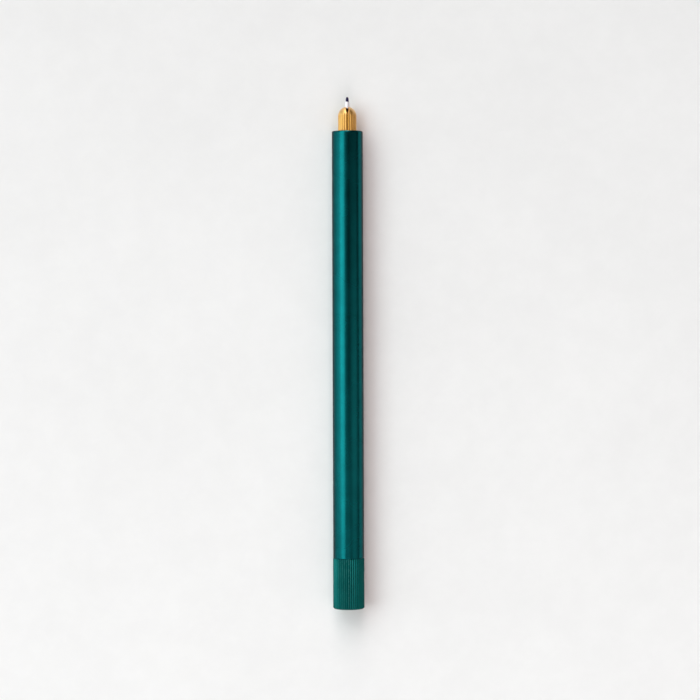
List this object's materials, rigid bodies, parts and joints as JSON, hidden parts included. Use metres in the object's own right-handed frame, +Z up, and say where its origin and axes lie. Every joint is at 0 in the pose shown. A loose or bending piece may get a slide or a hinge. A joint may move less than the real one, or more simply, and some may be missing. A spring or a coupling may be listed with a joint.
{
  "type": "lead holder",
  "caption": "Slim round lead holder with a fluted three-jaw collet at its tip and a knurled rear knob that turns to lock and free the lead.",
  "frame": {"origin": "on the surface that the pencil lies on, under its axis at the middle of its length", "axes": "+Y along the pencil towards the tip of the lead, +Z up"},
  "size_m": [0.009, 0.1486, 0.0091],
  "materials": {
    "anodised_aluminium": "teal anodised, satin",
    "brass": "turned, bright",
    "polished_steel": "polished",
    "steel": "drawn",
    "spring_steel": "oiled",
    "graphite": "graphite lead with a slight sheen",
    "nylon": "natural",
    "rubber": "matt"
  },
  "bodies": {
    "barrel": {"barrel": "anodised_aluminium", "collet_seat": "brass", "guide_bush": "brass", "anti_rotation_pin": "steel", "rear_bush": "brass", "thrust_washer": "nylon"},
    "drawbar": {"collet_shank": "brass", "draw_tube": "steel", "spring_collar": "brass", "return_spring": "spring_steel", "lead_sleeve": "polished_steel", "spare_leads": "graphite"},
    "jaw_1": {"jaw_1": "brass"},
    "jaw_2": {"jaw_2": "brass"},
    "jaw_3": {"jaw_3": "brass"},
    "lead": {"lead": "graphite"},
    "knob": {"knob": "anodised_aluminium", "knob_nut": "brass", "retaining_ring": "spring_steel", "friction_o_ring": "rubber"},
    "end_plug": {"end_plug": "anodised_aluminium", "plug_gasket": "rubber"}
  },
  "joints": [
    {"name": "knob_turn", "type": "hinge", "parent": "barrel", "child": "knob", "pos_m": [0, -0.05962, 0.00455], "axis": [0, -1, 0], "range_deg": [0, 540]},
    {"name": "draw_slide", "type": "slide", "parent": "barrel", "child": "drawbar", "axis": [0, 1, 0], "range_m": [0, 0.0012], "deforming": ["return_spring"]},
    {"name": "jaw_1_flex", "type": "hinge", "parent": "drawbar", "child": "jaw_1", "pos_m": [0.00126, 0.04838, 0.00528], "axis": [0.5, 0, -0.866], "range_deg": [0, 1]},
    {"name": "jaw_2_flex", "type": "hinge", "parent": "drawbar", "child": "jaw_2", "pos_m": [0, 0.04838, 0.0031], "axis": [-1, 0, 0], "range_deg": [0, 1]},
    {"name": "jaw_3_flex", "type": "hinge", "parent": "drawbar", "child": "jaw_3", "pos_m": [-0.00126, 0.04838, 0.00528], "axis": [0.5, 0, 0.866], "range_deg": [0, 1]},
    {"name": "lead_feed", "type": "slide", "parent": "drawbar", "child": "lead", "axis": [0, 1, 0], "range_m": [-0.0035, 0.045]},
    {"name": "plug_out", "type": "slide", "parent": "knob", "child": "end_plug", "axis": [0, -1, 0], "range_m": [0, 0.02]}
  ],
  "couplings": [
    {"joint": "knob_turn", "follows": "draw_slide", "rad_per_m": 7854},
    {"joint": "jaw_1_flex", "follows": "draw_slide", "rad_per_m": 14.544},
    {"joint": "jaw_2_flex", "follows": "draw_slide", "rad_per_m": 14.544},
    {"joint": "jaw_3_flex", "follows": "draw_slide", "rad_per_m": 14.544}
  ]
}
